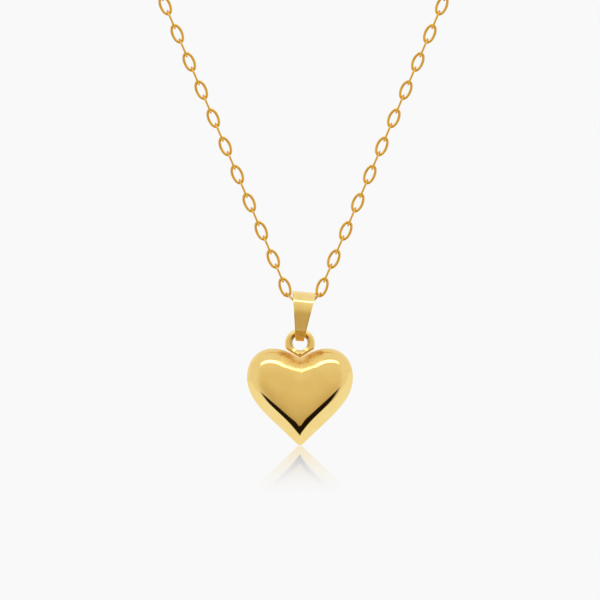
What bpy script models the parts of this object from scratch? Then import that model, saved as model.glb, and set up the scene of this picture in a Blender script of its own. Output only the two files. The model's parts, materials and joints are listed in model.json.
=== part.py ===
"""A pendant necklace: a puffed heart on a folded bail, a cable chain and a lobster clasp.

+Z is up and the front faces -Y. The origin is the middle of the line between the two points
where the chain leaves the sides of the neck, so the pendant hangs below it on a V of chain,
and the chain behind it runs round the nape to the clasp.
"""

import math

import bmesh
import bpy
import numpy as np
from mathutils import Matrix, Vector

MM = 0.001

# Chain links: an oval of flattened wire, each one turned a quarter turn from the last.
LINK_PITCH = 2.17 * MM
LINK_LENGTH = 3.0 * MM
LINK_WIDTH = 1.7 * MM
WIRE_WIDTH = 0.38 * MM
WIRE_THICKNESS = 0.3 * MM
LINK_STEPS = 12
WIRE_SIDES = 6

# The V of chain, as angles from the vertical, going up from the middle link in the bail.
BAIL_LINK_LEAN = math.radians(43.0)
LAST_LINK_LEAN = math.radians(20.2)
ARM_LEAN = math.radians(23.1)
ARM_LINKS = 20
UPPER_LINKS = 41
BAIL_LINK_ABOVE_TIP = 19.86 * MM

# The middle link is turned about the vertical, so that its ends stay inside the bail.
MIDDLE_LINK_TURN = math.radians(38.0)

# The plain tubes that stand for the chain above and behind the modelled links.
TUBE_RADIUS = LINK_WIDTH / 2
TUBE_BEND_STEPS = 20
HOLD_GAP = 0.8 * MM
LINK_CLEARANCE = 0.55 * MM
RING_CLEARANCE = 0.8 * MM
NAPE_Y = 44.5 * MM
NAPE_Z = 24.0 * MM
SHOULDER_PULL = 16.0 * MM
NAPE_PULL = 36.0 * MM

# Puffed heart, measured from its lowest point.
HEART_X = -0.5 * MM
HEART_CLEFT = (0.0, 12.25 * MM)
HEART_TOP = (3.9 * MM, 13.69 * MM)
HEART_SIDE = (7.5 * MM, 9.65 * MM)
HEART_TIP = (0.0, 0.0)
HEART_CENTRE_Z = 7.7 * MM
HEART_HALF_DEPTH = 2.5 * MM
HEART_WALL = 0.35 * MM
HEART_FULLNESS = 1.6
HEART_RIM_ROUNDING = 1.3
EDGE_FALLOFF = 1.5
CREASE_DEPTH = 0.14
CREASE_WIDTH = 0.55 * MM
CREASE_FOOT_Z = 8.8 * MM
CREASE_FULL_Z = 10.6 * MM
SEAM_GAP = 0.04 * MM
OUTLINE_STEPS = 9
RIM_CROWDING = 1.25
OUTER_RINGS = 8
INNER_RINGS = 4

# Cast loop in the heart's cleft.
LOOP_HOLE_RADIUS = 1.05 * MM
LOOP_HOLE_ABOVE_TIP = 14.5 * MM
LOOP_OUTER_RADIUS = 2.13 * MM
LOOP_CENTRE_ABOVE_TIP = 14.37 * MM
LOOP_FOOT_ABOVE_TIP = 12.3 * MM
LOOP_HALF_DEPTH = 0.55 * MM
LOOP_BORE_BEVEL = 0.46 * MM
LOOP_BORE_BEVEL_DEPTH = 0.32 * MM
LOOP_RIM_BEVEL = 0.26 * MM
LOOP_STEPS = 28

# Bail: a strap folded round the chain at the top and the loop at the bottom.
BAIL_X = -0.1 * MM
BAIL_LEAN = math.radians(5.5)
BAIL_AXIS_ABOVE_TIP = 19.44 * MM
BAIL_TOP_RADIUS = 1.86 * MM
BAIL_FOOT_RADIUS = 0.84 * MM
BAIL_THICKNESS = 0.46 * MM
BAIL_TOP_WIDTH = 3.35 * MM
BAIL_FOOT_WIDTH = 1.2 * MM
BAIL_EDGE = 0.1 * MM
BAIL_BEND_STEPS = 12
LOOP_AXIS_ABOVE_TIP = 16.02 * MM

# Lobster clasp at the nape, along X, in its own frame with the tail at -X.
CLASP_SHIFT = -0.3 * MM
CLASP_DEPTH = 1.5 * MM
CLASP_ROUND = 0.2 * MM
TAIL_X = -3.4 * MM
TAIL_RADIUS = 1.2 * MM
TAIL_HOLE_RADIUS = 0.65 * MM
CLAW_CENTRE_X = 1.0 * MM
CLAW_HALF_LENGTH = 3.6 * MM
CLAW_HALF_WIDTH = 2.1 * MM
MOUTH_CENTRE = (1.6 * MM, 0.1 * MM)
MOUTH_HALF_LENGTH = 2.25 * MM
MOUTH_HALF_WIDTH = 1.1 * MM
GATE_GAP_X = (0.0, 3.1 * MM)
SLOT_X = (-1.1 * MM, 3.1 * MM)
SLOT_TOP = -0.1 * MM
SLOT_WIDTH = 0.8 * MM
POCKET_X = (-2.15 * MM, -1.0 * MM)
POCKET_FLOOR = -1.12 * MM
TRIGGER_PIVOT = (-0.75 * MM, -0.85 * MM)
TRIGGER_THICKNESS = 0.68 * MM
PIN_RADIUS = 0.24 * MM
PIN_CLEARANCE = 0.04 * MM
SPRING_X = -1.65 * MM
SPRING_Z = (-1.04 * MM, -0.59 * MM)
SPRING_RADIUS = 0.24 * MM
SPRING_WIRE = 0.045 * MM
SPRING_TURNS = 3

# Rings at the nape.
JUMP_RING_RADIUS = 1.5 * MM
JUMP_RING_SEAT = 0.3 * MM
END_RING_RADIUS = 1.9 * MM
END_RING_SEAT = 0.3 * MM
RING_WIRE_RADIUS = 0.3 * MM
RING_STEPS = 20


def clear_scene():
    for thing in list(bpy.data.objects):
        bpy.data.objects.remove(thing, do_unlink=True)


def gold(name, colour, roughness):
    """A polished gold-plated metal."""
    material = bpy.data.materials.new(name)
    material.use_nodes = True
    shader = material.node_tree.nodes["Principled BSDF"]
    shader.inputs["Base Color"].default_value = (*colour, 1.0)
    shader.inputs["Metallic"].default_value = 1.0
    shader.inputs["Roughness"].default_value = roughness
    return material


def pivot(name, place, parent=None):
    """An empty on a joint's axis."""
    empty = bpy.data.objects.new(name, None)
    empty.empty_display_size = 2 * MM
    bpy.context.scene.collection.objects.link(empty)
    attach(empty, Matrix.Translation(place), parent)
    return empty


def attach(thing, world, parent=None):
    """Parents an object and gives it a world matrix."""
    if parent is not None:
        thing.parent = parent
        bpy.context.view_layer.update()
        world = parent.matrix_world.inverted() @ world
    thing.matrix_local = world


def add_object(name, mesh, material, world=None, parent=None, sharp_degrees=40):
    """Adds a shaded mesh object at a world matrix."""
    if not mesh.materials:
        mesh.materials.append(material)
    mesh.shade_smooth()
    mesh.set_sharp_from_angle(angle=math.radians(sharp_degrees))
    thing = bpy.data.objects.new(name, mesh)
    bpy.context.scene.collection.objects.link(thing)
    attach(thing, world or Matrix.Identity(4), parent)
    return thing


def finished_mesh(name, shape):
    """Turns a bmesh into a mesh with its faces pointing out."""
    bmesh.ops.recalc_face_normals(shape, faces=shape.faces)
    mesh = bpy.data.meshes.new(name)
    shape.to_mesh(mesh)
    shape.free()
    return mesh


def loop_mesh(name, sections):
    """A ring-shaped body through closed sections that all have the same number of points."""
    shape = bmesh.new()
    rows = [[shape.verts.new(point) for point in section] for section in sections]
    sides = len(rows[0])
    for i, row in enumerate(rows):
        following = rows[(i + 1) % len(rows)]
        for j in range(sides):
            k = (j + 1) % sides
            shape.faces.new((row[j], row[k], following[k], following[j]))
    return finished_mesh(name, shape)


def plate_mesh(name, outline, depth, rounding=0.0):
    """A plate in the XZ plane, centred on Y, with its long edges rounded over."""
    shape = bmesh.new()
    face = shape.faces.new([shape.verts.new((x, -depth / 2, z)) for x, z in outline])
    moved = bmesh.ops.extrude_face_region(shape, geom=[face])["geom"]
    verts = [item for item in moved if isinstance(item, bmesh.types.BMVert)]
    bmesh.ops.translate(shape, vec=(0, depth, 0), verts=verts)
    if rounding:
        flat = [e for e in shape.edges if abs(e.verts[0].co.y - e.verts[1].co.y) < depth / 2]
        bmesh.ops.bevel(shape, geom=flat, offset=rounding, segments=2, affect="EDGES", profile=0.5)
    return finished_mesh(name, shape)


def arc(centre, half_length, half_width, start_degrees, end_degrees, steps):
    """Points along part of an ellipse in the XZ plane, both ends included."""
    angles = np.radians(np.linspace(start_degrees, end_degrees, steps))
    return [(centre[0] + half_length * math.cos(a), centre[1] + half_width * math.sin(a)) for a in angles]


def cut(thing, cutters):
    """Cuts each cutter out of an object with a Boolean, and keeps the cutters out of the model."""
    for number, cutter in enumerate(cutters):
        cutter.hide_render = True
        cutter.display_type = "WIRE"
        modifier = thing.modifiers.new(f"cut_{number}", "BOOLEAN")
        modifier.operation = "DIFFERENCE"
        modifier.object = cutter


def bezier(a, b, c, d, steps):
    """Points along a cubic curve, without its last point."""
    a, b, c, d = (np.array(point, float) for point in (a, b, c, d))
    points = []
    for t in np.arange(steps) / steps:
        s = 1 - t
        points.append(s**3 * a + 3 * s * s * t * b + 3 * s * t * t * c + t**3 * d)
    return points


def link_mesh(name):
    """An oval link, long along Z, open along Y."""
    reach = (LINK_LENGTH - WIRE_WIDTH) / 2
    bend = (LINK_WIDTH - WIRE_WIDTH) / 2
    sections = []
    for step in range(LINK_STEPS):
        angle = 2 * math.pi * step / LINK_STEPS
        centre = Vector((bend * math.cos(angle), 0, reach * math.sin(angle)))
        out = Vector((reach * math.cos(angle), 0, bend * math.sin(angle))).normalized()
        sections.append(wire_section(centre, out))
    return loop_mesh(name, sections)


def wire_section(centre, out):
    """The flattened wire's section at a point, wide along out and thin along Y."""
    section = []
    for side in range(WIRE_SIDES):
        angle = 2 * math.pi * side / WIRE_SIDES
        across = out * (WIRE_WIDTH / 2 * math.cos(angle))
        through = Vector((0, WIRE_THICKNESS / 2 * math.sin(angle), 0))
        section.append(centre + across + through)
    return section


def link_matrix(low, high, edge_on):
    """Places a link with its length from one contact point to the next."""
    along = (high - low).normalized()
    lean, swing = math.atan2(along.x, along.z), math.asin(along.y)
    turned = Matrix.Rotation(lean, 4, "Y") @ Matrix.Rotation(-swing, 4, "X")
    turned = turned @ Matrix.Rotation(math.pi / 2 * edge_on, 4, "Z")
    return Matrix.Translation((low + high) / 2) @ turned


def chain_rise(count):
    """How far the chain climbs from the middle link over the bail link, last link and arm links."""
    bends = math.cos(LAST_LINK_LEAN) + count * math.cos(ARM_LEAN)
    return LINK_PITCH * bends + bail_link_span() * math.cos(BAIL_LINK_LEAN)


def middle_link_end(side):
    """Where the middle link meets the bail link on that side, from its own middle."""
    half = LINK_PITCH / 2
    return Vector((math.cos(MIDDLE_LINK_TURN), math.sin(MIDDLE_LINK_TURN), 0)) * half * side


def bail_link_span():
    """How much of a bail link's pitch lies in the plane of the V."""
    return math.sqrt(LINK_PITCH**2 - middle_link_end(1).y ** 2)


def middle_link_z():
    return -chain_rise(ARM_LINKS + UPPER_LINKS)


def tip_z():
    """The height of the heart's lowest point."""
    return middle_link_z() - BAIL_LINK_ABOVE_TIP


def contact_points(side):
    """Where the links touch, from the middle link up to the top of the modelled arm."""
    inner = middle_link_end(side) + Vector((0, 0, middle_link_z()))
    reach = Vector((side * math.sin(BAIL_LINK_LEAN), 0, math.cos(BAIL_LINK_LEAN))) * bail_link_span()
    points = [inner, Vector((inner.x, 0, inner.z)) + reach]
    for lean in [LAST_LINK_LEAN] + [ARM_LEAN] * ARM_LINKS:
        step = Vector((side * math.sin(lean), 0, math.cos(lean))) * LINK_PITCH
        points.append(points[-1] + step)
    return points


def hold_point(side):
    """Where the chain leaves the side of the neck, on the axis that the front swings about."""
    top = contact_points(side)[-1]
    return Vector((top.x + side * UPPER_LINKS * LINK_PITCH * math.sin(ARM_LEAN), 0, 0))


def make_front_chain(metal, front):
    """The links of the V: three through the bail, and an arm of single links on each side."""
    mesh = link_mesh("chain_link")
    middle = [contact_points(side)[0] for side in (-1, 1)]
    world = link_matrix(*middle, edge_on=False)
    add_object("bail_link_middle", mesh, metal, world, front)
    for side, word in ((-1, "left"), (1, "right")):
        points = contact_points(side)
        world = link_matrix(points[0], points[1], edge_on=True)
        add_object(f"bail_link_{word}", mesh, metal, world, front)
        for number in range(1, len(points) - 1):
            world = link_matrix(points[number], points[number + 1], edge_on=number % 2 == 0)
            add_object(f"chain_link_{word}_{number:02d}", mesh, metal, world, front)


def make_tube(name, points, metal, parent=None):
    """A round tube through points, closed at both ends."""
    curve = bpy.data.curves.new(name, "CURVE")
    curve.dimensions = "3D"
    curve.bevel_depth = TUBE_RADIUS
    curve.bevel_resolution = 1
    curve.use_fill_caps = True
    curve.materials.append(metal)
    spline = curve.splines.new("POLY")
    spline.points.add(len(points) - 1)
    for point, place in zip(spline.points, points):
        point.co = (*place, 1.0)
    tube = bpy.data.objects.new(name, curve)
    bpy.context.scene.collection.objects.link(tube)
    attach(tube, Matrix.Identity(4), parent)


def back_points(side):
    """The curve from the hold point over the shoulder to the ring at the nape."""
    start = hold_point(side)
    rise = Vector((side * math.sin(ARM_LEAN), 0, math.cos(ARM_LEAN)))
    end = nape_end(side)
    handles = start + rise * SHOULDER_PULL, end + Vector((side * NAPE_PULL, 0, 0))
    points = [Vector(p) for p in bezier(start, *handles, end, TUBE_BEND_STEPS)]
    return points + [end]


def trimmed(points, start_gap, end_gap):
    """The same route, shortened at each end."""
    first = points[0] + (points[1] - points[0]).normalized() * start_gap
    last = points[-1] + (points[-2] - points[-1]).normalized() * end_gap
    return [first] + points[1:-1] + [last]


def make_plain_chain(metal, front):
    """Plain tubes for the chain above the single links and round the back."""
    for side, word in ((-1, "left"), (1, "right")):
        upper = trimmed([contact_points(side)[-1], hold_point(side)], LINK_CLEARANCE, HOLD_GAP)
        make_tube(f"chain_upper_{word}", upper, metal, front)
        back = trimmed(back_points(side), HOLD_GAP, RING_CLEARANCE)
        make_tube(f"chain_back_{word}", back, metal)


def heart_outline():
    """The heart's outline from the cleft round the +X side to the tip and back, as (x, z)."""
    tip_slope = 5.4 * MM
    half = bezier(HEART_CLEFT, (1.3 * MM, 13.06 * MM), (2.4 * MM, HEART_TOP[1]), HEART_TOP, OUTLINE_STEPS)
    half += bezier(HEART_TOP, (6.0 * MM, HEART_TOP[1]), (HEART_SIDE[0], 12.0 * MM), HEART_SIDE, OUTLINE_STEPS)
    tip_start = (0.35 * MM, 0.12 * MM)
    low_handle = (tip_start[0] + tip_slope * math.sqrt(0.5), tip_start[1] + tip_slope * math.sqrt(0.5))
    half += bezier(HEART_SIDE, (HEART_SIDE[0], 6.1 * MM), low_handle, tip_start, OUTLINE_STEPS)
    half.append(np.array(tip_start))
    mirrored = [point * (-1, 1) for point in half[:0:-1]]
    return np.array(half + [np.array(HEART_TIP)] + mirrored)


def edge_nearness(point, outline):
    """A smooth stand-in for the distance from a point to the outline."""
    arms = outline - point
    following = np.roll(arms, -1, axis=0)
    turn = arms[:, 0] * following[:, 1] - arms[:, 1] * following[:, 0]
    angle = np.abs(np.arctan2(turn, (arms * following).sum(axis=1)))
    reach = (np.hypot(*arms.T) + np.hypot(*following.T)) / 2
    return (angle / reach**EDGE_FALLOFF).sum() ** (-1 / EDGE_FALLOFF)


def heart_heights(points, outline):
    """How far the puffed face stands out at each point: zero at the outline, and rounded."""
    centre = edge_nearness(np.array((0.0, HEART_CENTRE_Z)), outline)
    heights = []
    for point in points:
        share = min(edge_nearness(point, outline) / centre, 1.0)
        full = (1 - (1 - share) ** HEART_FULLNESS) ** (1 / HEART_RIM_ROUNDING)
        heights.append(full * (1 - crease(*point)))
    return heights


def crease(x, z):
    """The share of the height that the soft crease below the cleft takes away."""
    rise = min(1.0, max(0.0, (z - CREASE_FOOT_Z) / (CREASE_FULL_Z - CREASE_FOOT_Z)))
    return CREASE_DEPTH * rise * rise * (3 - 2 * rise) * math.exp(-abs(x) / CREASE_WIDTH)


def heart_rows(rings, shrink, height, outline):
    """Rows of points from the rim to the middle of one puffed face, as (x, y, z)."""
    centre = np.array((0.0, HEART_CENTRE_Z))
    rows = []
    for ring in range(rings):
        share = math.sin(math.pi / 2 * (1 - (ring / rings) ** RIM_CROWDING))
        flat = centre + (outline - centre) * share
        bulge = np.zeros(len(flat)) if ring == 0 else np.array(heart_heights(flat, outline))
        placed = centre + (flat - centre) * shrink
        rows.append([(x, -SEAM_GAP / 2 - height * h, z) for (x, z), h in zip(placed, bulge)])
    return rows


def heart_shell_mesh(name):
    """The front half of the hollow heart: an outer and an inner puffed face joined at the rim."""
    outline = heart_outline()
    inner_shrink = 1 - HEART_WALL / HEART_SIDE[0]
    outer = heart_rows(OUTER_RINGS, 1.0, HEART_HALF_DEPTH - SEAM_GAP / 2, outline)
    inner = heart_rows(INNER_RINGS, inner_shrink, HEART_HALF_DEPTH - HEART_WALL, outline)
    shape = bmesh.new()
    rows = []
    for row in outer[::-1] + inner:
        rows.append([shape.verts.new(point) for point in row])
    count = len(outline)
    for row, following in zip(rows, rows[1:]):
        for i in range(count):
            k = (i + 1) % count
            shape.faces.new((row[i], row[k], following[k], following[i]))
    close_face(shape, rows[0], -HEART_HALF_DEPTH)
    close_face(shape, rows[-1], -SEAM_GAP / 2 - (HEART_HALF_DEPTH - HEART_WALL))
    return finished_mesh(name, shape)


def close_face(shape, row, depth):
    """Closes the middle of a puffed face with a fan of triangles."""
    middle = shape.verts.new((0, depth, HEART_CENTRE_Z))
    for i, vert in enumerate(row):
        shape.faces.new((vert, row[(i + 1) % len(row)], middle))


def make_heart(metal, heart):
    """The two pressed halves of the heart, back to back."""
    place = Matrix.Translation((HEART_X, 0, tip_z()))
    add_object("heart_front", heart_shell_mesh("heart_front"), metal, place, heart)
    turned = place @ Matrix.Rotation(math.pi, 4, "Z")
    add_object("heart_back", heart_shell_mesh("heart_back"), metal, turned, heart)


def loop_reach(angle):
    """From the hole's centre out to the loop's edge: a circle with a pointed foot."""
    drop = LOOP_HOLE_ABOVE_TIP - LOOP_CENTRE_ABOVE_TIP
    rise = math.sin(angle)
    circle = -drop * rise + math.sqrt(LOOP_OUTER_RADIUS**2 - (drop * math.cos(angle)) ** 2)
    if rise >= 0:
        return circle
    foot = LOOP_HOLE_ABOVE_TIP - LOOP_FOOT_ABOVE_TIP
    slope = math.tan(math.radians(33))
    return min(circle, foot / (slope * abs(math.cos(angle)) - rise))


def make_loop(metal, heart):
    """The cast loop, a ring with a wide bevel round its bore, whose foot fills the heart's cleft."""
    sections = []
    for step in range(LOOP_STEPS):
        angle = 2 * math.pi * step / LOOP_STEPS - math.pi / 2
        out = Vector((math.cos(angle), 0, math.sin(angle)))
        inner, outer = LOOP_HOLE_RADIUS, loop_reach(angle)
        deep = LOOP_HALF_DEPTH
        corners = [(inner, deep - LOOP_BORE_BEVEL_DEPTH), (inner + LOOP_BORE_BEVEL, deep)]
        corners += [(outer - LOOP_RIM_BEVEL, deep), (outer, deep - LOOP_RIM_BEVEL)]
        corners += [(reach, -depth) for reach, depth in corners[::-1]]
        sections.append([out * reach + Vector((0, depth, 0)) for reach, depth in corners])
    place = Matrix.Translation((HEART_X, 0, tip_z() + LOOP_HOLE_ABOVE_TIP))
    add_object("heart_loop", loop_mesh("heart_loop", sections), metal, place, heart, 30)


def bail_route():
    """The strap's side view, as (y, z, outward angle) round the inside, from the front."""
    drop = BAIL_AXIS_ABOVE_TIP - LOOP_AXIS_ABOVE_TIP
    tilt = math.asin((BAIL_TOP_RADIUS - BAIL_FOOT_RADIUS) / drop)
    route = []
    for radius, centre, start, turn in (
        (BAIL_TOP_RADIUS, 0.0, math.pi + tilt, -math.pi - 2 * tilt),
        (BAIL_FOOT_RADIUS, -drop, -tilt, -math.pi + 2 * tilt),
    ):
        for step in range(BAIL_BEND_STEPS + 1):
            angle = start + turn * step / BAIL_BEND_STEPS
            route.append((radius * math.cos(angle), centre + radius * math.sin(angle), angle))
    return route


def make_bail(metal, parent):
    """The folded strap, wide over the chain and narrow through the loop."""
    drop = BAIL_AXIS_ABOVE_TIP - LOOP_AXIS_ABOVE_TIP
    top, foot = BAIL_TOP_RADIUS + BAIL_THICKNESS, -drop - BAIL_FOOT_RADIUS - BAIL_THICKNESS
    sections = []
    for y, z, angle in bail_route():
        out = Vector((0, math.cos(angle), math.sin(angle)))
        share = (z + BAIL_THICKNESS * math.sin(angle) - foot) / (top - foot)
        half = (BAIL_FOOT_WIDTH + share * (BAIL_TOP_WIDTH - BAIL_FOOT_WIDTH)) / 2
        corners = [(half - BAIL_EDGE, 0), (half, BAIL_EDGE), (half, BAIL_THICKNESS - BAIL_EDGE)]
        corners.append((half - BAIL_EDGE, BAIL_THICKNESS))
        corners += [(-across, height) for across, height in corners[::-1]]
        base = Vector((0, y, z))
        sections.append([base + Vector((across, 0, 0)) + out * height for across, height in corners])
    middle = Vector((BAIL_X, 0, tip_z() + BAIL_AXIS_ABOVE_TIP))
    place = Matrix.Translation(middle) @ Matrix.Rotation(BAIL_LEAN, 4, "Y")
    add_object("bail", loop_mesh("bail", sections), metal, place, parent, 30)


def jump_ring_x():
    """The jump ring's centre, with its inner edge just inside the tail's hole."""
    return CLASP_SHIFT + TAIL_X - TAIL_HOLE_RADIUS + JUMP_RING_SEAT - JUMP_RING_RADIUS + RING_WIRE_RADIUS


def end_ring_x():
    """The end ring's centre, with its inner edge just inside the claw's mouth."""
    mouth_end = CLASP_SHIFT + MOUTH_CENTRE[0] + MOUTH_HALF_LENGTH
    return mouth_end - END_RING_SEAT + END_RING_RADIUS - RING_WIRE_RADIUS


def nape_end(side):
    """Where the chain meets the inside of the jump ring (at -X) or of the end ring."""
    if side < 0:
        return Vector((jump_ring_x() - JUMP_RING_RADIUS + RING_WIRE_RADIUS, NAPE_Y, NAPE_Z))
    return Vector((end_ring_x() + END_RING_RADIUS - RING_WIRE_RADIUS, NAPE_Y, NAPE_Z))


def ring_mesh(name, radius):
    """A round wire ring lying flat."""
    sections = []
    for step in range(RING_STEPS):
        angle = 2 * math.pi * step / RING_STEPS
        out = Vector((math.cos(angle), math.sin(angle), 0))
        section = []
        for side in range(WIRE_SIDES):
            turn = 2 * math.pi * side / WIRE_SIDES
            height = Vector((0, 0, RING_WIRE_RADIUS * math.sin(turn)))
            section.append(out * (radius + RING_WIRE_RADIUS * math.cos(turn)) + height)
        sections.append(section)
    return loop_mesh(name, sections)


def make_rings(metal):
    """The jump ring through the clasp's tail, and the end ring held in its claw."""
    rings = (
        ("clasp_jump_ring", JUMP_RING_RADIUS, jump_ring_x()),
        ("chain_end_ring", END_RING_RADIUS, end_ring_x()),
    )
    for name, radius, x in rings:
        add_object(name, ring_mesh(name, radius), metal, Matrix.Translation((x, NAPE_Y, NAPE_Z)))


def clasp_outline():
    """The clasp's outer edge: a round tail running into an oval claw."""
    claw = arc((CLAW_CENTRE_X, 0), CLAW_HALF_LENGTH, CLAW_HALF_WIDTH, -152, 152, 30)
    tail = arc((TAIL_X, 0), TAIL_RADIUS, TAIL_RADIUS, 52, 308, 16)
    return claw + tail


def box_cutter(name, x_span, z_span, depth, world, parent):
    corners = [(x_span[0], z_span[0]), (x_span[1], z_span[0]), (x_span[1], z_span[1]), (x_span[0], z_span[1])]
    return add_object(name, plate_mesh(name, corners, depth), None, world, parent)


def round_cutter(name, centre, half_length, half_width, steps, world, parent):
    outline = arc(centre, half_length, half_width, 0, 360, steps + 1)[:-1]
    return add_object(name, plate_mesh(name, outline, 2 * CLASP_DEPTH), None, world, parent)


def make_clasp_body(metal, world, clasp):
    """The claw with its mouth, gate gap, trigger slot, tail hole and pin hole cut out."""
    mesh = plate_mesh("clasp_body", clasp_outline(), CLASP_DEPTH, CLASP_ROUND)
    body = add_object("clasp_body", mesh, metal, world, clasp, 30)
    below = -2 * CLAW_HALF_WIDTH
    gate_z = (below, MOUTH_CENTRE[1] - MOUTH_HALF_WIDTH / 2)
    mouth = round_cutter("mouth_cutter", MOUTH_CENTRE, MOUTH_HALF_LENGTH, MOUTH_HALF_WIDTH, 24, world, clasp)
    tail = round_cutter("tail_cutter", (TAIL_X, 0), TAIL_HOLE_RADIUS, TAIL_HOLE_RADIUS, 16, world, clasp)
    pin_hole = PIN_RADIUS + PIN_CLEARANCE
    pin = round_cutter("pin_cutter", TRIGGER_PIVOT, pin_hole, pin_hole, 12, world, clasp)
    gate = box_cutter("gate_cutter", GATE_GAP_X, gate_z, 2 * CLASP_DEPTH, world, clasp)
    slot = box_cutter("slot_cutter", SLOT_X, (below, SLOT_TOP), SLOT_WIDTH, world, clasp)
    pocket = box_cutter("pocket_cutter", POCKET_X, (POCKET_FLOOR, SLOT_TOP), SLOT_WIDTH, world, clasp)
    cut(body, [mouth, tail, gate, slot, pocket, pin])


def trigger_outline():
    """The lever's side view about its pivot: the gate to +X, a thumb tab below, a spring seat to -X."""
    points = [(3.75, -0.75), (3.75, -0.3), (2.2, 0.05), (0.9, 0.25), (0.3, 0.55), (-0.5, 0.65)]
    points += [(-1.15, 0.65), (-1.15, 0.35), (-0.6, 0.3), (-0.35, 0.0), (-0.3, -0.95), (-0.45, -1.75)]
    points += [(0.25, -1.75), (0.45, -1.05), (1.2, -0.95), (2.6, -1.0)]
    return [(x * MM, z * MM) for x, z in points]


def make_trigger(metal, world, trigger):
    """The spring-loaded lever that closes the claw, with the hole for its pin."""
    mesh = plate_mesh("clasp_trigger", trigger_outline(), TRIGGER_THICKNESS, 0.08 * MM)
    lever_place = world @ Matrix.Translation((TRIGGER_PIVOT[0], 0, TRIGGER_PIVOT[1]))
    lever = add_object("clasp_trigger", mesh, metal, lever_place, trigger, 30)
    hole = PIN_RADIUS + PIN_CLEARANCE
    cutter = round_cutter("trigger_pin_cutter", (0, 0), hole, hole, 12, lever_place, trigger)
    cut(lever, [cutter])


def make_pin(metal, world, clasp):
    """The pin that the trigger turns on."""
    outline = arc((0, 0), PIN_RADIUS, PIN_RADIUS, 0, 360, 13)[:-1]
    place = world @ Matrix.Translation((TRIGGER_PIVOT[0], 0, TRIGGER_PIVOT[1]))
    add_object("clasp_pin", plate_mesh("clasp_pin", outline, CLASP_DEPTH), metal, place, clasp, 30)


def make_spring(metal, world, clasp):
    """The small coil spring under the trigger's seat."""
    low, high = SPRING_Z
    curve = bpy.data.curves.new("clasp_spring", "CURVE")
    curve.dimensions = "3D"
    curve.bevel_depth = SPRING_WIRE
    curve.bevel_resolution = 0
    curve.use_fill_caps = True
    curve.materials.append(metal)
    steps = 10 * SPRING_TURNS
    spline = curve.splines.new("POLY")
    spline.points.add(steps)
    for step, point in enumerate(spline.points):
        angle = 2 * math.pi * SPRING_TURNS * step / steps
        height = low + (high - low) * step / steps
        x = SPRING_X + SPRING_RADIUS * math.cos(angle)
        point.co = (x, SPRING_RADIUS * math.sin(angle), height, 1.0)
    spring = bpy.data.objects.new("clasp_spring", curve)
    bpy.context.scene.collection.objects.link(spring)
    attach(spring, world, clasp)


def make_clasp(metal, steel):
    """The lobster clasp, its lever, pin and spring."""
    place = Vector((CLASP_SHIFT, NAPE_Y, NAPE_Z))
    world = Matrix.Translation(place)
    clasp = pivot("clasp_pivot", place)
    trigger = pivot("trigger_pivot", place + Vector((TRIGGER_PIVOT[0], 0, TRIGGER_PIVOT[1])), clasp)
    make_clasp_body(metal, world, clasp)
    make_trigger(metal, world, trigger)
    make_pin(metal, world, clasp)
    make_spring(steel, world, clasp)


def main():
    clear_scene()
    chain_metal = gold("chain_gold", (0.74, 0.40, 0.09), 0.16)
    pendant_metal = gold("pendant_gold", (0.80, 0.55, 0.17), 0.08)
    clasp_metal = gold("clasp_gold", (0.76, 0.46, 0.12), 0.14)
    spring_steel = gold("spring_steel", (0.55, 0.54, 0.52), 0.3)

    front = pivot("front_pivot", (0, 0, 0))
    bail_pivot = pivot("bail_pivot", (BAIL_X, 0, tip_z() + BAIL_AXIS_ABOVE_TIP), front)
    heart_pivot = pivot("heart_pivot", (HEART_X, 0, tip_z() + LOOP_AXIS_ABOVE_TIP), bail_pivot)

    make_front_chain(chain_metal, front)
    make_plain_chain(chain_metal, front)
    make_heart(pendant_metal, heart_pivot)
    make_loop(pendant_metal, heart_pivot)
    make_bail(pendant_metal, bail_pivot)
    make_rings(clasp_metal)
    make_clasp(clasp_metal, spring_steel)


main()
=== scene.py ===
"""Looks of the pendant necklace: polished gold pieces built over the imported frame.

+Z is up and the front faces -Y. The pendant's lowest point just touches the floor.
"""

import json
import math

import bmesh
import bpy
import numpy as np
from mathutils import Matrix, Vector


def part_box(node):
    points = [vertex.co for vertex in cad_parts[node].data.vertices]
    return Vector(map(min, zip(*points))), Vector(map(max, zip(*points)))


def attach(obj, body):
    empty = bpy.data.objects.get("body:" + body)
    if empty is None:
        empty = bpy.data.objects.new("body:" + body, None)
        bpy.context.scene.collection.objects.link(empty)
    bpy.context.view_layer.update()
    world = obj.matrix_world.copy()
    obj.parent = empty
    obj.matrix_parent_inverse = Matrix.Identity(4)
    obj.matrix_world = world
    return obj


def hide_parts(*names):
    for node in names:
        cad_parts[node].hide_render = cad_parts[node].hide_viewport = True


MM = 0.001
SIDES = ((-1, "left"), (1, "right"))

# Chain links, as in the frame.
LINK_PITCH = 2.17 * MM
LINK_LENGTH = 3.0 * MM
LINK_WIDTH = 1.7 * MM
WIRE_WIDTH = 0.38 * MM
WIRE_THICKNESS = 0.3 * MM
LINK_STEPS = 44
LINK_WIRE_SIDES = 14
ARM_LINKS = 21
UPPER_LINKS = 41
MIDDLE_LINK_TURN = math.radians(38.0)

# The route of the chain round the back, as in the frame.
SHOULDER_PULL = 16.0 * MM
NAPE_PULL = 36.0 * MM

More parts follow.
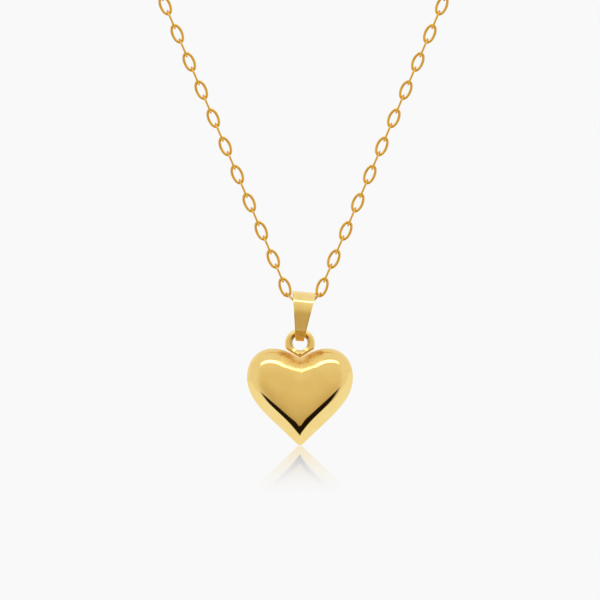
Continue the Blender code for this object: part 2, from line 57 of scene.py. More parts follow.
# Puffed heart, as in the frame, measured from its lowest point. Its crease is softer here.
HEART_CLEFT = (0.0, 12.25 * MM)
HEART_TOP = (3.9 * MM, 13.69 * MM)
HEART_SIDE = (7.5 * MM, 9.65 * MM)
HEART_TIP = (0.0, 0.0)
HEART_TIP_START = (0.35 * MM, 0.12 * MM)
HEART_CENTRE_Z = 7.7 * MM
HEART_HALF_DEPTH = 2.5 * MM
HEART_WALL = 0.35 * MM
HEART_FULLNESS = 1.6
HEART_RIM_ROUNDING = 1.3
EDGE_FALLOFF = 1.5
CREASE_DEPTH = 0.11
CREASE_WIDTH = 0.65 * MM
CREASE_SOFTNESS = 0.16 * MM
CREASE_FOOT_Z = 8.8 * MM
CREASE_FULL_Z = 10.6 * MM
SEAM_GAP = 0.01 * MM
OUTLINE_STEPS = 40
RIM_CROWDING = 1.25
OUTER_RINGS = 56
INNER_RINGS = 12

# Cast loop, as in the frame, but with a shallower bore bevel, a rounded rim and a pit.
LOOP_HOLE_RADIUS = 1.05 * MM
LOOP_HOLE_ABOVE_TIP = 14.5 * MM
LOOP_OUTER_RADIUS = 2.13 * MM
LOOP_CENTRE_ABOVE_TIP = 14.37 * MM
LOOP_FOOT_ABOVE_TIP = 12.3 * MM
LOOP_FOOT_SLOPE = math.radians(33)
LOOP_HALF_DEPTH = 0.55 * MM
LOOP_BORE_BEVEL = 0.46 * MM
LOOP_BORE_BEVEL_DEPTH = 0.26 * MM
LOOP_RIM_ROUNDING = 0.38 * MM
LOOP_STEPS = 180
PIT_FOOT = -1.9 * MM
PIT_HEIGHT = 0.36 * MM
PIT_FLARE = 0.95
PIT_DEPTH = 0.2 * MM

# Folded bail, as in the frame.
BAIL_X = -0.1 * MM
BAIL_LEAN = math.radians(5.5)
BAIL_AXIS_ABOVE_TIP = 19.44 * MM
BAIL_TOP_RADIUS = 1.86 * MM
BAIL_FOOT_RADIUS = 0.84 * MM
BAIL_THICKNESS = 0.46 * MM
BAIL_TOP_WIDTH = 3.35 * MM
BAIL_FOOT_WIDTH = 1.2 * MM
BAIL_EDGE = 0.1 * MM
LOOP_AXIS_ABOVE_TIP = 16.02 * MM
BAIL_BEND_STEPS = 40
BAIL_STRAIGHT_STEPS = 16

# Rings at the nape.
RING_WIRE_RADIUS = 0.3 * MM
RING_STEPS = 72
RING_WIRE_SIDES = 18

# Studio.
WHITE = 0.947
PICTURE_WIDTH = 85.1 * MM
CAMERA_DISTANCE = 0.9
SENSOR = 36.0
LOOK_AT = Vector((-0.5 * MM, 0.0, 20.58 * MM))
FLOOR_GAP = 0.03 * MM
FLOOR_REACH = 30.0
TABLE_ROLL = math.radians(8)
TABLE_LOW = -1.40
TABLE_HIGH = -0.67
LAMP_ROLL = math.radians(4)
LAMP_LOW = 0.96
LAMP_HIGH = 1.28


# ---------------------------------------------------------------- materials

def wire_up(tree, kind, **settings):
    """Adds a node. Settings are its properties, and the values or links of its inputs."""
    node = tree.nodes.new(kind)
    for name, value in settings.items():
        if hasattr(node, name):
            setattr(node, name, value)
            continue
        socket = node.inputs[int(name[1:])] if name[1:].isdigit() else node.inputs[name.replace("_", " ")]
        if isinstance(value, bpy.types.NodeSocket):
            tree.links.new(value, socket)
        else:
            socket.default_value = value
    return node


def maths(tree, operation, first, second=0.0, clamp=False):
    node = wire_up(tree, "ShaderNodeMath", operation=operation, use_clamp=clamp, i0=first, i1=second)
    return node.outputs[0]


def ramped(tree, value, low, high, start=0.0, end=1.0, smooth=True):
    """Maps a value from low..high to start..end, held at both ends."""
    node = tree.nodes.new("ShaderNodeMapRange")
    node.interpolation_type = "SMOOTHSTEP" if smooth else "LINEAR"
    tree.links.new(value, node.inputs["Value"])
    for name, number in (("From Min", low), ("From Max", high), ("To Min", start), ("To Max", end)):
        node.inputs[name].default_value = number
    return node.outputs["Result"]


def noise(tree, vector, size, detail=2.0, stretch=(1, 1, 1), turn=(0, 0, 0)):
    """Noise whose features are about that size in metres, drawn out by stretch."""
    mapping = tree.nodes.new("ShaderNodeMapping")
    tree.links.new(vector, mapping.inputs["Vector"])
    mapping.inputs["Rotation"].default_value = turn
    mapping.inputs["Scale"].default_value = [1 / (size * s) for s in stretch]
    node = tree.nodes.new("ShaderNodeTexNoise")
    tree.links.new(mapping.outputs["Vector"], node.inputs["Vector"])
    node.inputs["Scale"].default_value = 1.0
    node.inputs["Detail"].default_value = detail
    return node.outputs["Fac"]


def polished_gold(name, colour, deep, roughness, scratch=0.5, brush=0.0):
    """Polished gold plate: faint clouding of colour and gloss, hairline scratches and a soft ripple."""
    material = bpy.data.materials.new(name)
    material.use_nodes = True
    tree = material.node_tree
    shader = tree.nodes["Principled BSDF"]
    place = tree.nodes.new("ShaderNodeTexCoord").outputs["Object"]

    cloud = ramped(tree, noise(tree, place, 2.2 * MM), 0.35, 0.65)
    mix = tree.nodes.new("ShaderNodeMix")
    mix.data_type = "RGBA"
    tree.links.new(cloud, mix.inputs["Factor"])
    mix.inputs["A"].default_value = (*deep, 1)
    mix.inputs["B"].default_value = (*colour, 1)
    tree.links.new(mix.outputs["Result"], shader.inputs["Base Color"])

    lines = []
    for turn, size in (((0.3, 0.9, 0.2), 0.05), ((1.2, -0.7, 0.5), 0.04), ((-0.5, 0.4, 1.3), 0.06)):
        fibre = noise(tree, place, size * MM, 1.0, (60, 1, 1), turn)
        lines.append(ramped(tree, fibre, 0.66, 0.74))
    hairline = maths(tree, "MAXIMUM", maths(tree, "MAXIMUM", lines[0], lines[1]), lines[2])
    patchy = ramped(tree, noise(tree, place, 1.4 * MM), 0.42, 0.62)
    hairline = maths(tree, "MULTIPLY", hairline, patchy)

    haze = ramped(tree, noise(tree, place, 0.5 * MM, 3.0), 0.3, 0.7, roughness * 0.7, roughness * 1.35)
    rough = maths(tree, "ADD", haze, maths(tree, "MULTIPLY", hairline, 0.10 * scratch))
    tree.links.new(rough, shader.inputs["Roughness"])

    ripple = noise(tree, place, 1.1 * MM, 1.0)
    scratched = maths(tree, "MULTIPLY", hairline, 0.12)
    height = maths(tree, "SUBTRACT", maths(tree, "MULTIPLY", ripple, 0.6), scratched)
    if brush:
        drawn = noise(tree, place, 0.05 * MM, 2.0, (1, 1, 60))
        height = maths(tree, "ADD", height, maths(tree, "MULTIPLY", drawn, brush))
    bump = tree.nodes.new("ShaderNodeBump")
    bump.inputs["Strength"].default_value = 0.25
    bump.inputs["Distance"].default_value = 0.006 * MM
    tree.links.new(height, bump.inputs["Height"])
    tree.links.new(bump.outputs["Normal"], shader.inputs["Normal"])
    shader.inputs["Metallic"].default_value = 1.0
    return material


def paint_shade(material, deep, satin, mask):
    """Painted shade: gives a piece a darker colour and a satin gloss where the mask, made from its own (x,
    y, z), is 1.
    """
    tree = material.node_tree
    shader = tree.nodes["Principled BSDF"]
    place = tree.nodes.new("ShaderNodeTexCoord").outputs["Object"]
    share = mask(tree, *wire_up(tree, "ShaderNodeSeparateXYZ", Vector=place).outputs)
    colour, rough = (shader.inputs[name].links[0].from_socket for name in ("Base Color", "Roughness"))
    tree.links.new(blend_colour(tree, share, colour, deep), shader.inputs["Base Color"])
    rough = maths(tree, "MAXIMUM", rough, maths(tree, "MULTIPLY", share, satin))
    tree.links.new(rough, shader.inputs["Roughness"])


def from_axis(tree, x, z, height):
    """The distance from the front-to-back line at that height."""
    rise = maths(tree, "SUBTRACT", z, height)
    squares = maths(tree, "ADD", maths(tree, "MULTIPLY", x, x), maths(tree, "MULTIPLY", rise, rise))
    return maths(tree, "SQRT", squares)


# Painted shade: darker gold where the strap turns back through the loop at its foot.
def shaded_strap_foot(tree, x, y, z):
    return ramped(tree, z, -3.42 * MM, -3.2 * MM, 1.0, 0.0)


def shaded_bore_bevel(tree, x, y, z):
    """Painted shade on the sides of the loop's bore and bevel, but not their bottom."""
    near = ramped(tree, from_axis(tree, x, z, 0.0), 1.35 * MM, 1.58 * MM, 0.9, 0.0)
    return maths(tree, "MULTIPLY", near, ramped(tree, z, -0.95 * MM, -0.3 * MM))


def shaded_foot_pit(tree, x, y, z):
    """Painted shade in the small pit with its point down in the loop's foot."""
    height = maths(tree, "SUBTRACT", z, PIT_FOOT)
    side = maths(tree, "SUBTRACT", maths(tree, "MULTIPLY", height, PIT_FLARE), maths(tree, "ABSOLUTE", x))
    edge = maths(tree, "MINIMUM", side, maths(tree, "SUBTRACT", PIT_HEIGHT, height))
    return ramped(tree, edge, 0.0, 0.06 * MM)


def shaded_around_loop(tree, x, y, z):
    """Painted shade on the heart's shoulders beside the loop's foot, in place of the loop's own reflection
    there.
    """
    return ramped(tree, from_axis(tree, x, z, LOOP_CENTRE_ABOVE_TIP), 2.3 * MM, 5.0 * MM, 0.85, 0.0)


def spring_wire(name):
    """Drawn steel wire, with fine die lines."""
    material = bpy.data.materials.new(name)
    material.use_nodes = True
    tree = material.node_tree
    shader = tree.nodes["Principled BSDF"]
    place = tree.nodes.new("ShaderNodeTexCoord").outputs["Object"]
    drawn = noise(tree, place, 0.02 * MM, 2.0, (1, 1, 12))
    mix = tree.nodes.new("ShaderNodeMix")
    mix.data_type = "RGBA"
    tree.links.new(drawn, mix.inputs["Factor"])
    mix.inputs["A"].default_value = (0.42, 0.41, 0.40, 1)
    mix.inputs["B"].default_value = (0.62, 0.61, 0.59, 1)
    tree.links.new(mix.outputs["Result"], shader.inputs["Base Color"])
    tree.links.new(ramped(tree, drawn, 0.3, 0.7, 0.22, 0.38), shader.inputs["Roughness"])
    shader.inputs["Metallic"].default_value = 1.0
    return material


# ---------------------------------------------------------------- pieces

def add_piece(name, mesh, material, body, nodes=(), world=None, sharp_degrees=None):
    """Adds a smooth-shaded piece that rides on a body and stands for CAD nodes."""
    if not mesh.materials:
        mesh.materials.append(material)
    mesh.shade_smooth()
    if sharp_degrees:
        mesh.set_sharp_from_angle(angle=math.radians(sharp_degrees))
    piece = bpy.data.objects.new(name, mesh)
    bpy.context.scene.collection.objects.link(piece)
    piece.matrix_world = world or Matrix.Identity(4)
    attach(piece, body)
    if nodes:
        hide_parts(*nodes)
    return piece


def mesh_of(name, points, faces):
    mesh = bpy.data.meshes.new(name)
    mesh.from_pydata([tuple(point) for point in points], [], faces)
    shape = bmesh.new()
    shape.from_mesh(mesh)
    bmesh.ops.recalc_face_normals(shape, faces=shape.faces)
    shape.to_mesh(mesh)
    shape.free()
    return mesh


def loop_faces(rows, sides, first=0):
    """Faces of a ring-shaped body of that many rows, whose points are numbered row by row."""
    faces = []
    for i in range(rows):
        here, following = first + i * sides, first + (i + 1) % rows * sides
        for j in range(sides):
            k = (j + 1) % sides
            faces.append((here + j, here + k, following + k, following + j))
    return faces


def loop_mesh(name, sections):
    points = [point for section in sections for point in section]
    return mesh_of(name, points, loop_faces(len(sections), len(sections[0])))


def bezier(a, b, c, d, steps):
    """Points along a cubic curve, without its last point."""
    a, b, c, d = (np.array(point, float) for point in (a, b, c, d))
    t = (np.arange(steps) / steps)[:, None]
    s = 1 - t
    return list(s**3 * a + 3 * s * s * t * b + 3 * s * t * t * c + t**3 * d)


# ---------------------------------------------------------------- chain

def link_sections():
    """An oval link of flattened round wire, long along Z, open along Y."""
    reach, bend = (LINK_LENGTH - WIRE_WIDTH) / 2, (LINK_WIDTH - WIRE_WIDTH) / 2
    sections = []
    for step in range(LINK_STEPS):
        angle = 2 * math.pi * step / LINK_STEPS
        centre = Vector((bend * math.cos(angle), 0, reach * math.sin(angle)))
        out = Vector((reach * math.cos(angle), 0, bend * math.sin(angle))).normalized()
        section = []
        for side in range(LINK_WIRE_SIDES):
            turn = 2 * math.pi * side / LINK_WIRE_SIDES
            across = out * (WIRE_WIDTH / 2 * math.cos(turn))
            section.append(centre + across + Vector((0, WIRE_THICKNESS / 2 * math.sin(turn), 0)))
        sections.append(section)
    return sections


def joint_of(name):
    return next(joint for joint in frame["joints"] if joint["name"] == name)


def twist_line(word, number):
    """A single link's centre and the direction of its length, from its joint."""
    joint = joint_of(f"twist_{word}_{number:02d}")
    return Vector(joint["pos_m"]), Vector(joint["axis"]).normalized()


def link_matrix(centre, along, edge_on):
    """Places a link of the front V."""
    along = along.normalized()
    lean, swing = math.atan2(along.x, along.z), math.asin(along.y)
    turned = Matrix.Rotation(lean, 4, "Y") @ Matrix.Rotation(-swing, 4, "X")
    return Matrix.Translation(centre) @ turned @ Matrix.Rotation(edge_on * math.pi / 2, 4, "Z")


def centre_of(node):
    low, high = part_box(node)
    return (low + high) / 2


def joined_links(name, matrices):
    """One mesh of separate closed links, one for each matrix."""
    sections = link_sections()
    flat = [point for section in sections for point in section]
    points, faces = [], []
    for matrix in matrices:
        faces += loop_faces(len(sections), LINK_WIRE_SIDES, len(points))
        points += [matrix @ point for point in flat]
    return mesh_of(name, points, faces)


def make_single_links(metal):
    mesh = loop_mesh("link", link_sections())
    middle = centre_of("bail_link_middle")
    lengthwise = Vector((math.cos(MIDDLE_LINK_TURN), math.sin(MIDDLE_LINK_TURN), 0))
    world = link_matrix(middle, lengthwise, False)
    add_piece("link_bail_middle", mesh, metal, "front_chain", ["bail_link_middle"], world)
    for side, word in SIDES:
        centre, along = twist_line(word, 1)
        inner = middle + lengthwise * (side * LINK_PITCH / 2)
        outer = centre - along * LINK_PITCH / 2
        world = link_matrix((inner + outer) / 2, outer - inner, True)
        node = f"bail_link_{word}"
        add_piece(f"link_bail_{word}", mesh, metal, "front_chain", [node], world)
        for number in range(1, ARM_LINKS + 1):
            centre, along = twist_line(word, number)
            world = link_matrix(centre, along, number % 2 == 0)
            node = f"chain_link_{word}_{number:02d}"
            add_piece(f"link_{word}_{number:02d}", mesh, metal, node, [node], world)


def make_upper_links(metal):
    """The straight run of links from the single ones up to the side of the neck."""
    for side, word in SIDES:
        centre, along = twist_line(word, ARM_LINKS)
        places = []
        for number in range(1, UPPER_LINKS + 1):
            places.append(link_matrix(centre + along * LINK_PITCH * number, along, number % 2 == 1))
        mesh = joined_links(f"chain_upper_links_{word}", places)
        nodes = [f"chain_upper_{word}"]
        add_piece(mesh.name, mesh, metal, "front_chain", nodes)


def back_route(side, word):
    """The curve from the side of the neck round the nape to its ring."""
    centre, along = twist_line(word, ARM_LINKS)
    start = centre + along * LINK_PITCH * (UPPER_LINKS + 0.5)
    low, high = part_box("clasp_jump_ring" if side < 0 else "chain_end_ring")
    inner = low.x + 2 * RING_WIRE_RADIUS if side < 0 else high.x - 2 * RING_WIRE_RADIUS
    end = Vector((inner, (low.y + high.y) / 2, (low.z + high.z) / 2))
    handles = start + along * SHOULDER_PULL, end + Vector((side * NAPE_PULL, 0, 0))
    return [Vector(point) for point in bezier(start, *handles, end, 600)] + [end]


def make_back_links(metal):
    """Links along the curve, each a quarter turn from the last, and untwisted along the way."""
    for side, word in SIDES:
        route = back_route(side, word)
        reach = [0.0]
        for low, high in zip(route, route[1:]):
            reach.append(reach[-1] + (high - low).length)
        count = round(reach[-1] / LINK_PITCH)
        marks = np.interp(np.linspace(0, reach[-1], count + 1), reach, range(len(reach)))
        points = [route[int(round(mark))] for mark in marks]
        through = Vector((0, 1, 0))
        places = []
        for number, (low, high) in enumerate(zip(points, points[1:])):
            along = (high - low).normalized()
            through = (through - along * through.dot(along)).normalized()
            across = through.cross(along)
            turned = Matrix((across, through, along)).transposed().to_4x4()
            roll = Matrix.Rotation(math.pi / 2 * ((number + UPPER_LINKS + 1) % 2), 4, "Z")
            places.append(Matrix.Translation((low + high) / 2) @ turned @ roll)
        mesh = joined_links(f"chain_back_links_{word}", places)
        nodes = [f"chain_back_{word}"]
        add_piece(mesh.name, mesh, metal, "back_chain", nodes)


# ---------------------------------------------------------------- heart

def heart_outline():
    """The heart's outline from the cleft round the +X side to the tip and back, as (x, z)."""
    slope = 5.4 * MM * math.sqrt(0.5)
    low_handle = (HEART_TIP_START[0] + slope, HEART_TIP_START[1] + slope)
    half = bezier(HEART_CLEFT, (1.3 * MM, 13.06 * MM), (2.4 * MM, HEART_TOP[1]), HEART_TOP, OUTLINE_STEPS)
    shoulder = (6.0 * MM, HEART_TOP[1]), (HEART_SIDE[0], 12.0 * MM)
    half += bezier(HEART_TOP, *shoulder, HEART_SIDE, OUTLINE_STEPS)
    half += bezier(HEART_SIDE, (HEART_SIDE[0], 6.1 * MM), low_handle, HEART_TIP_START, OUTLINE_STEPS)
    half += bezier(HEART_TIP_START, (0.24 * MM, 0.03 * MM), (0.1 * MM, 0.0), HEART_TIP, 6)
    half.append(np.array(HEART_TIP))
    return np.array(half + [point * (-1, 1) for point in half[-2:0:-1]])


def edge_nearness(points, outline):
    """A smooth stand-in for the distance from each point to the outline."""
    arms = outline[None] - points[:, None]
    following = np.roll(arms, -1, axis=1)
    turn = arms[..., 0] * following[..., 1] - arms[..., 1] * following[..., 0]
    angle = np.abs(np.arctan2(turn, (arms * following).sum(axis=-1)))
    reach = (np.hypot(arms[..., 0], arms[..., 1]) + np.hypot(following[..., 0], following[..., 1])) / 2
    return (angle / reach**EDGE_FALLOFF).sum(axis=-1) ** (-1 / EDGE_FALLOFF)


def crease(x, z):
    """The share of the height that the soft crease below the cleft takes away."""
    rise = np.clip((z - CREASE_FOOT_Z) / (CREASE_FULL_Z - CREASE_FOOT_Z), 0.0, 1.0)
    across = np.exp(-np.hypot(x, CREASE_SOFTNESS) / CREASE_WIDTH)
    return CREASE_DEPTH * rise * rise * (3 - 2 * rise) * across


def heart_rows(rings, shrink, height, outline):
    """Rows of points from the rim to the middle of one puffed face, as (x, y, z)."""
    centre = np.array((0.0, HEART_CENTRE_Z))
    full = edge_nearness(centre[None], outline)[0]
    rows = []
    for ring in range(rings):
        share = math.sin(math.pi / 2 * (1 - (ring / rings) ** RIM_CROWDING))
        flat = centre + (outline - centre) * share
        bulge = np.zeros(len(flat))
        if ring:
            near = np.minimum(edge_nearness(flat, outline) / full, 1.0)
            bulge = (1 - (1 - near) ** HEART_FULLNESS) ** (1 / HEART_RIM_ROUNDING) * (1 - crease(*flat.T))
        placed = centre + (flat - centre) * shrink
        depth = -SEAM_GAP / 2 - height * bulge
        rows.append(np.column_stack((placed[:, 0], depth, placed[:, 1])))
    return rows


def heart_half_mesh(name):
    """One hollow half of the heart, an outer and an inner puffed face joined at the rim."""
    outline = heart_outline()
    count = len(outline)
    inner_shrink = 1 - HEART_WALL / HEART_SIDE[0]
    outer = heart_rows(OUTER_RINGS, 1.0, HEART_HALF_DEPTH - SEAM_GAP / 2, outline)
    inner = heart_rows(INNER_RINGS, inner_shrink, HEART_HALF_DEPTH - HEART_WALL, outline)
    rows = outer[::-1] + inner
    points = [tuple(point) for row in rows for point in row]
    faces = []
    for i in range(len(rows) - 1):
        for j in range(count):
            k = (j + 1) % count
            faces.append((i * count + j, i * count + k, (i + 1) * count + k, (i + 1) * count + j))
    for first, depth in ((0, -HEART_HALF_DEPTH), ((len(rows) - 1) * count, HEART_WALL - HEART_HALF_DEPTH)):
        points.append((0.0, depth, HEART_CENTRE_Z))
        middle = len(points) - 1
        faces += [(first + j, first + (j + 1) % count, middle) for j in range(count)]
    return mesh_of(name, points, faces)


def make_heart(metal, tip):
    mesh = heart_half_mesh("heart_half")
    half_turn = Matrix.Rotation(math.pi, 4, "Z")
    for node, turn in (("heart_front", Matrix.Identity(4)), ("heart_back", half_turn)):
        world = Matrix.Translation(tip) @ turn
        add_piece(f"{node}_shell", mesh, metal, "heart", [node], world, 50)


# ---------------------------------------------------------------- loop

def loop_reach(angle):
    """From the hole's centre out to the loop's edge: a circle with a pointed foot."""
    drop = LOOP_HOLE_ABOVE_TIP - LOOP_CENTRE_ABOVE_TIP
    rise = math.sin(angle)
    circle = -drop * rise + math.sqrt(LOOP_OUTER_RADIUS**2 - (drop * math.cos(angle)) ** 2)
    if rise >= 0:
        return circle
    foot = LOOP_HOLE_ABOVE_TIP - LOOP_FOOT_ABOVE_TIP
    return min(circle, foot / (math.tan(LOOP_FOOT_SLOPE) * abs(math.cos(angle)) - rise))


def loop_profile(inner, outer):
    """The loop's section as (reach, depth): a wide bevel round the bore and a rounded rim."""
    deep, bevel_deep = LOOP_HALF_DEPTH, LOOP_HALF_DEPTH - LOOP_BORE_BEVEL_DEPTH
    front = [(inner, 0), (inner, bevel_deep - 0.03 * MM), (inner + 0.03 * MM, bevel_deep + 0.02 * MM)]
    bevel_end, flat_end = inner + LOOP_BORE_BEVEL, outer - LOOP_RIM_ROUNDING
    for step in range(1, 6):
        front.append((inner + LOOP_BORE_BEVEL * step / 6, bevel_deep + LOOP_BORE_BEVEL_DEPTH * step / 6))
    front += [(bevel_end + (flat_end - bevel_end) * step / 6, deep) for step in range(7)]
    for step in range(1, 9):
        turn = math.pi / 2 * step / 8
        reach, drop = math.sin(turn) * LOOP_RIM_ROUNDING, (1 - math.cos(turn)) * LOOP_RIM_ROUNDING
        front.append((flat_end + reach, deep - drop))
    front.append((outer, 0))
    return front + [(reach, -depth) for reach, depth in front[-2:0:-1]]


def make_loop(metal, tip):
    """The cast loop, with the small pit in the middle of its foot."""
    sections = []
    for step in range(LOOP_STEPS):
        angle = 2 * math.pi * step / LOOP_STEPS - math.pi / 2
        out = Vector((math.cos(angle), 0, math.sin(angle)))
        section = []
        for reach, depth in loop_profile(LOOP_HOLE_RADIUS, loop_reach(angle)):
            point = out * reach
            pit = pit_depth(point.x, point.z) if depth > LOOP_HALF_DEPTH * 0.9 else 0.0
            pit = -pit_depth(point.x, point.z) if depth < -LOOP_HALF_DEPTH * 0.9 else pit
            section.append(point + Vector((0, depth - pit, 0)))
        sections.append(section)
    world = Matrix.Translation(tip + Vector((0, 0, LOOP_HOLE_ABOVE_TIP)))
    mesh = loop_mesh("heart_loop_cast", sections)
    loop = add_piece(mesh.name, mesh, metal, "heart", ["heart_loop"], world, 40)
    # The loop is hidden from reflections; painted shade on the heart beside it stands in for its
    # reflection.
    loop.visible_glossy = False


def pit_depth(x, z):
    """A shallow three-sided pit in the loop's foot, with its point down."""
    height = z - PIT_FOOT
    edge = min(height * PIT_FLARE - abs(x), PIT_HEIGHT - height)
    return PIT_DEPTH * max(0.0, min(1.0, edge / (0.1 * MM)))


# ---------------------------------------------------------------- bail

def bail_route():
    """The strap's side view, as (y, z, outward angle) round the inside, from the front."""
    drop = BAIL_AXIS_ABOVE_TIP - LOOP_AXIS_ABOVE_TIP
    tilt = math.asin((BAIL_TOP_RADIUS - BAIL_FOOT_RADIUS) / drop)
    route = []
    for radius, centre, start, turn in (
        (BAIL_TOP_RADIUS, 0.0, math.pi + tilt, -math.pi - 2 * tilt),
        (BAIL_FOOT_RADIUS, -drop, -tilt, -math.pi + 2 * tilt),
    ):
        for step in range(BAIL_BEND_STEPS + 1):
            angle = start + turn * step / BAIL_BEND_STEPS
            route.append((radius * math.cos(angle), centre + radius * math.sin(angle), angle))
    return with_straights(route)


def with_straights(route):
    """The route with steps added along its two straight sides."""
    full = []
    for (y, z, angle), (next_y, next_z, next_angle) in zip(route, route[1:] + route[:1]):
        full.append((y, z, angle))
        if math.hypot(next_y - y, next_z - z) > 1.0 * MM:
            for step in range(1, BAIL_STRAIGHT_STEPS):
                t = step / BAIL_STRAIGHT_STEPS
                full.append((y + (next_y - y) * t, z + (next_z - z) * t, angle))
    return full


def bail_profile(half):
    """The strap's section as (across, height) for that half width, with softened edges."""
    soft = BAIL_EDGE
    corner = []
    for step in range(6):
        turn = math.pi / 2 * step / 5
        corner.append((half - soft + soft * math.cos(turn), BAIL_THICKNESS - soft + soft * math.sin(turn)))
    top = [(half - soft) * (1 - step / 4) for step in range(1, 4)]
    outer = corner + [(across, BAIL_THICKNESS) for across in top]
    inner = [(half - soft * 0.3, 0.0), (half, soft * 0.3)]
    right = inner + outer
    return right + [(0.0, BAIL_THICKNESS)] + [(-across, height) for across, height in right[::-1]]


def make_bail(metal, tip_z):
    """The folded strap, wide over the chain and narrow through the loop."""
    drop = BAIL_AXIS_ABOVE_TIP - LOOP_AXIS_ABOVE_TIP
    top, foot = BAIL_TOP_RADIUS + BAIL_THICKNESS, -drop - BAIL_FOOT_RADIUS - BAIL_THICKNESS
    sections = []
    for y, z, angle in bail_route():
        out = Vector((0, math.cos(angle), math.sin(angle)))
        share = (z + BAIL_THICKNESS * math.sin(angle) - foot) / (top - foot)
        half = (BAIL_FOOT_WIDTH + share * (BAIL_TOP_WIDTH - BAIL_FOOT_WIDTH)) / 2
        base = Vector((0, y, z))
        profile = bail_profile(half)
        sections.append([base + Vector((across, 0, 0)) + out * height for across, height in profile])
    middle = Vector((BAIL_X, 0, tip_z + BAIL_AXIS_ABOVE_TIP))
    world = Matrix.Translation(middle) @ Matrix.Rotation(BAIL_LEAN, 4, "Y")
    mesh = loop_mesh("bail_strap", sections)
    add_piece(mesh.name, mesh, metal, "bail", ["bail"], world, 40)


# ---------------------------------------------------------------- clasp

def make_rings(metal):
    """The round wire rings at the nape."""
    for node, body in (("clasp_jump_ring", "jump_ring"), ("chain_end_ring", "end_ring")):
        low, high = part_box(node)
        radius = (high.x - low.x) / 2 - RING_WIRE_RADIUS
        sections = []
        for step in range(RING_STEPS):
            angle = 2 * math.pi * step / RING_STEPS
            out = Vector((math.cos(angle), math.sin(angle), 0))
            section = []
            for side in range(RING_WIRE_SIDES):
                turn = 2 * math.pi * side / RING_WIRE_SIDES
                lift = Vector((0, 0, RING_WIRE_RADIUS * math.sin(turn)))
                section.append(out * (radius + RING_WIRE_RADIUS * math.cos(turn)) + lift)
            sections.append(section)
        world = Matrix.Translation((low + high) / 2)
        mesh = loop_mesh(f"{node}_round", sections)
        add_piece(mesh.name, mesh, metal, body, [node], world)


def dress_clasp(metal, steel):
    """Gives the clasp's own solids their finish."""
    for name in ("clasp_body", "clasp_trigger", "clasp_pin", "clasp_spring"):
        node = frame["nodes"][name]
        node.data.materials.clear()
        node.data.materials.append(steel if name == "clasp_spring" else metal)


# ---------------------------------------------------------------- studio

def make_camera(tip):
    data = bpy.data.cameras.new("camera")
    data.sensor_width = SENSOR
    data.lens = SENSOR * CAMERA_DISTANCE / PICTURE_WIDTH
    data.clip_end = 100.0
    camera = bpy.data.objects.new("camera", data)
    bpy.context.scene.collection.objects.link(camera)
    camera.location = (LOOK_AT.x, -CAMERA_DISTANCE, tip.z + LOOK_AT.z)
    camera.rotation_euler = (math.pi / 2, 0, 0)
    bpy.context.scene.camera = camera


def make_floor(tip):
    """A pale glossy floor. Its gloss dies away from the pendant outwards."""
    mesh = bpy.data.meshes.new("floor")
    corners = [(x * FLOOR_REACH, y * FLOOR_REACH, 0) for x, y in ((-1, -1), (1, -1), (1, 1), (-1, 1))]
    mesh.from_pydata(corners, [], [(0, 1, 2, 3)])
    material = bpy.data.materials.new("floor")
    material.use_nodes = True
    tree = material.node_tree
    tree.nodes.clear()
    output = tree.nodes.new("ShaderNodeOutputMaterial")
    place = tree.nodes.new("ShaderNodeTexCoord").outputs["Object"]
    length = wire_up(tree, "ShaderNodeVectorMath", operation="LENGTH", i0=place).outputs["Value"]
    near = ramped(tree, length, 0.02, 0.23, 1.0, 0.0, False)
    near = maths(tree, "POWER", near, 1.4)
    facing = wire_up(tree, "ShaderNodeLayerWeight", Blend=0.5).outputs["Facing"]
    grazing = maths(tree, "POWER", facing, 6.0)
    share = maths(tree, "MULTIPLY", maths(tree, "MULTIPLY", near, grazing), 0.62)
    glow = wire_up(tree, "ShaderNodeEmission", Color=(WHITE, WHITE, WHITE, 1), Strength=1.0)
    gloss = wire_up(tree, "ShaderNodeBsdfGlossy", Color=(1, 1, 1, 1), Roughness=0.02)
    mix = wire_up(tree, "ShaderNodeMixShader", i0=share, i1=glow.outputs[0], i2=gloss.outputs[0])
    tree.links.new(mix.outputs[0], output.inputs["Surface"])
    mesh.materials.append(material)
    floor = bpy.data.objects.new("floor", mesh)
    floor.location = tip - Vector((0, 0, FLOOR_GAP))
    bpy.context.scene.collection.objects.link(floor)
    floor.visible_glossy = False
    floor.visible_diffuse = False


def band(tree, value, start, end, soft):
    """1 between start and end, falling to 0 over soft on both sides."""
    rise = ramped(tree, value, start - soft, start + soft)
    fall = ramped(tree, value, end - soft, end + soft, 1.0, 0.0)
    return maths(tree, "MULTIPLY", rise, fall)


def blend_colour(tree, factor, first, second):
    mix = tree.nodes.new("ShaderNodeMix")
    mix.data_type = "RGBA"
    tree.links.new(factor, mix.inputs["Factor"])
    for socket, value in (("A", first), ("B", second)):
        if isinstance(value, bpy.types.NodeSocket):
            tree.links.new(value, mix.inputs[socket])
        else:
            mix.inputs[socket].default_value = (*value, 1)
    return mix.outputs["Result"]


def rise_of(tree, x, z, forward, roll):
    """How steeply a direction rises towards the front, with the horizon rolled up on the +X side."""
    level = maths(tree, "MULTIPLY", z, math.cos(roll))
    level = maths(tree, "SUBTRACT", level, maths(tree, "MULTIPLY", x, math.sin(roll)))
    return maths(tree, "DIVIDE", level, forward)


